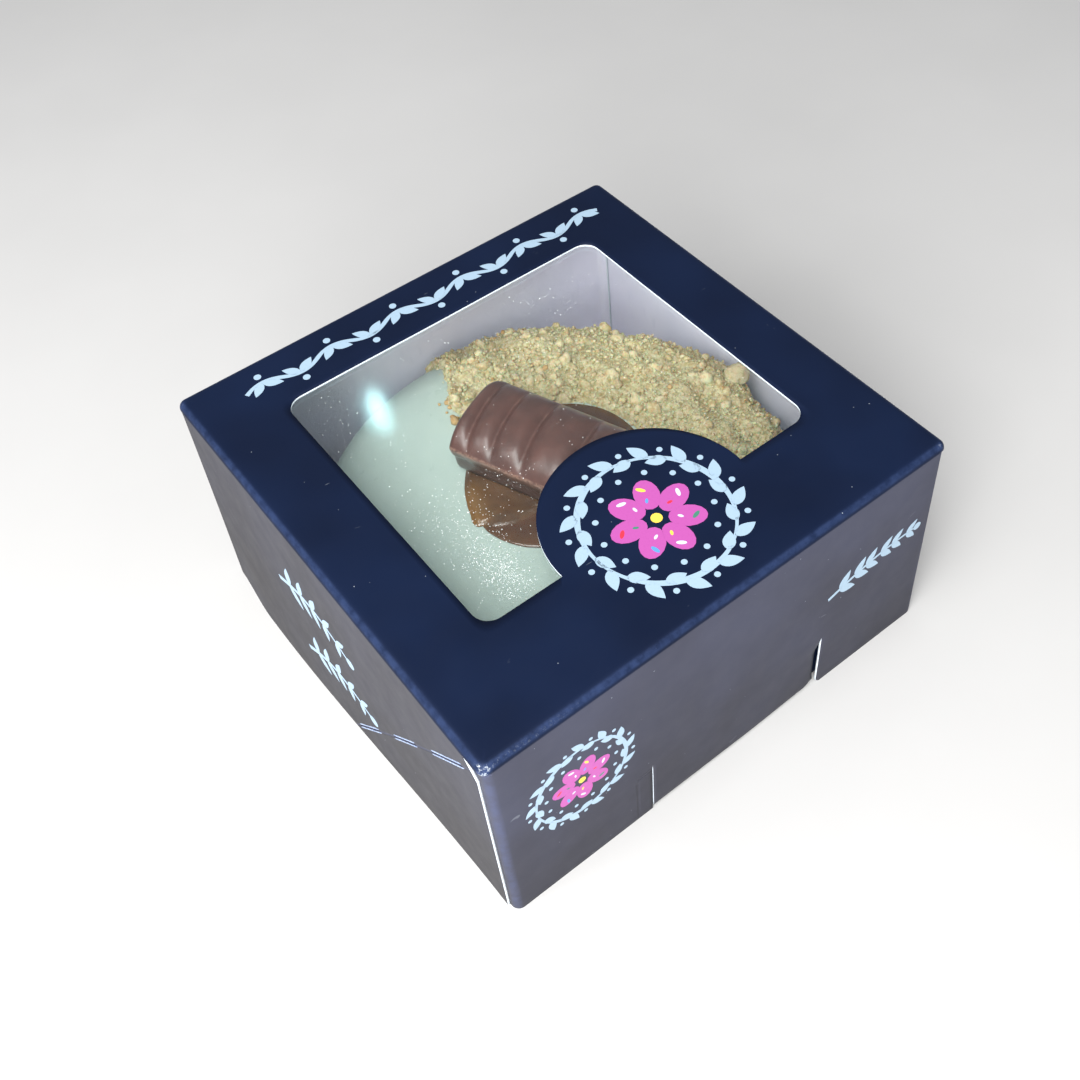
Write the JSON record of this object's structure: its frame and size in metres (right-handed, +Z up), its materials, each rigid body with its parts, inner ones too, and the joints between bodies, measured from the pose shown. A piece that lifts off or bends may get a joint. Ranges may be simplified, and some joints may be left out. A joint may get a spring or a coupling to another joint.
{
  "type": "boxed filled doughnut",
  "caption": "Square folding carton with a round-lobed film window, holding an iced filled doughnut topped with crumbs, a caramel pool and a chocolate finger bar.",
  "frame": {"origin": "on the ground, under the middle of the carton", "axes": "+Z up, -Y out of the front wall with the two lock slits, -X out of the left wall"},
  "size_m": [0.11, 0.11, 0.0555],
  "materials": {
    "board": "matt printed folding boxboard, dark blue on the lid and grey on the walls",
    "film": "clear glossy window film",
    "dough": "fried dough, soft and slightly shiny",
    "icing": "smooth set white icing, satin",
    "crumb": "dry biscuit crumbs",
    "caramel": "glossy caramel",
    "chocolate": "satin milk chocolate coating"
  },
  "bodies": {
    "root": {"carton": "board", "window_film": "film", "doughnut": "dough", "icing": "icing", "crumb_topping": "crumb", "caramel_pool": "caramel", "chocolate_bar": "chocolate"}
  },
  "joints": []
}
